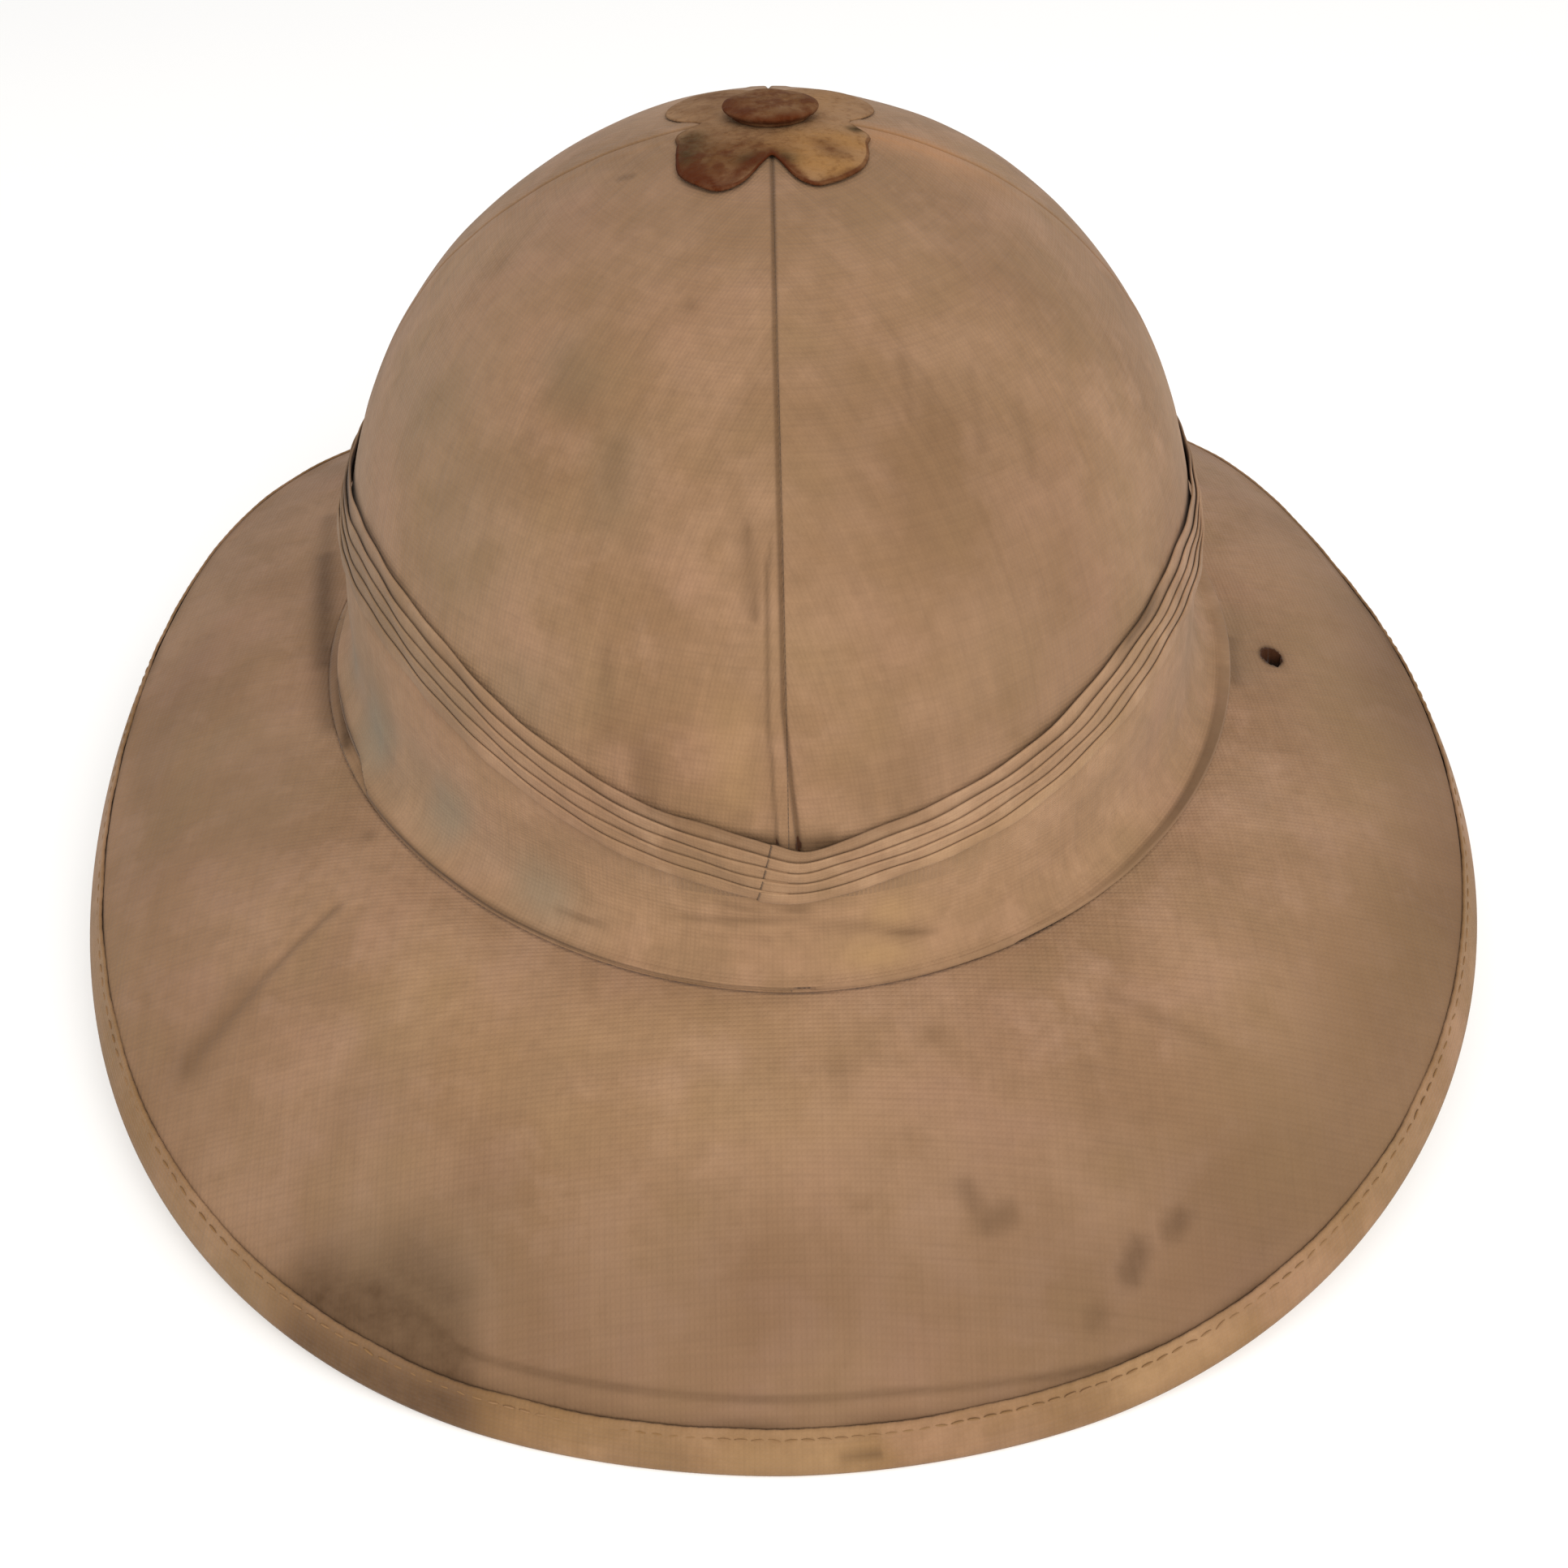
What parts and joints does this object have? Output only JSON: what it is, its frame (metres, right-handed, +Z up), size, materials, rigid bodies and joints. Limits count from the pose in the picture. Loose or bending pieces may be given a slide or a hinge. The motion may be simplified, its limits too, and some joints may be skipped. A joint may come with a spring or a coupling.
{
  "type": "pith helmet",
  "caption": "Cotton-covered pith sun helmet with a hollow egg-shaped crown, a wide drooping bound brim, a pleated band and a lobed cap with a button on top.",
  "frame": {"origin": "middle of the outline seen from above, on the surface that the brim's rim rests on", "axes": "+Z up through the crown, +Y towards the shorter face end of the brim, +X to the wearer's right"},
  "size_m": [0.311, 0.3592, 0.1629],
  "materials": {
    "crown_cotton": "worn khaki cotton cloth, smooth over pith, with small stains",
    "brim_cotton": "worn khaki cotton cloth, smooth over pith, stained at the edge",
    "binding_cotton": "folded khaki cotton strip, stitched, with soil and one dark stain",
    "lower_band_cotton": "greyish khaki cotton band with soft wrinkles",
    "pleated_cotton": "khaki cotton laid in narrow folds",
    "cap_metal": "worn khaki paint over rusted sheet metal",
    "button_metal": "dark brown rust under worn paint"
  },
  "bodies": {
    "root": {"crown_shell": "crown_cotton", "brim_shell": "brim_cotton", "brim_edge_binding": "binding_cotton", "lower_band": "lower_band_cotton", "pleated_band": "pleated_cotton", "vent_cap": "cap_metal", "vent_button": "button_metal"}
  },
  "joints": []
}
